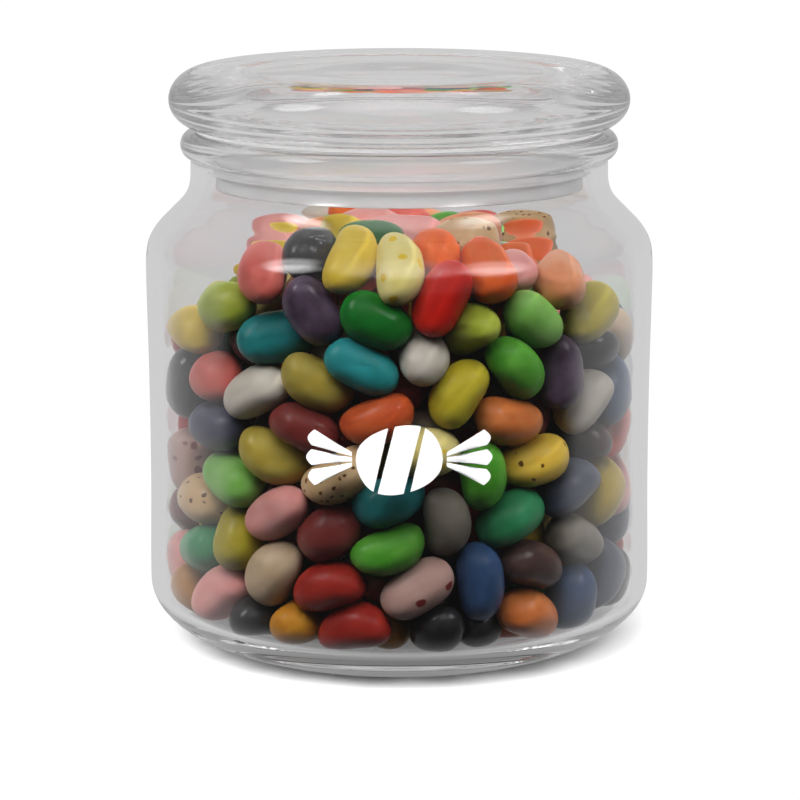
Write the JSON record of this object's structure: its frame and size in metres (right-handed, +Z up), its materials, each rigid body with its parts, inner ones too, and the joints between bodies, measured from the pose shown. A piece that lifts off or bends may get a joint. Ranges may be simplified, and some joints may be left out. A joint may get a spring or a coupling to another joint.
{
  "type": "jar of jelly beans",
  "caption": "Round clear glass jar with a sloping shoulder, a bead under its mouth and a thick flat glass lid in a thin plastic seal, filled with jelly beans of many flavours.",
  "frame": {"origin": "centre of the jar's foot, on the surface that it stands on", "axes": "+Z up along the jar's axis, -Y towards the jar's front, +X to the right as seen from the front"},
  "size_m": [0.1084, 0.1084, 0.1231],
  "materials": {
    "clear_glass": "clear, colourless soda-lime glass, smooth and glossy",
    "milky_plastic": "thin translucent milky plastic",
    "sugar_shell": "polished hard sugar shell over jelly, in many plain and speckled colours",
    "white_print": "thin opaque white enamel print on the glass"
  },
  "bodies": {
    "root": {"jar": "clear_glass", "lid": "clear_glass", "lid_seal": "milky_plastic", "jelly_beans": "sugar_shell"}
  },
  "joints": []
}
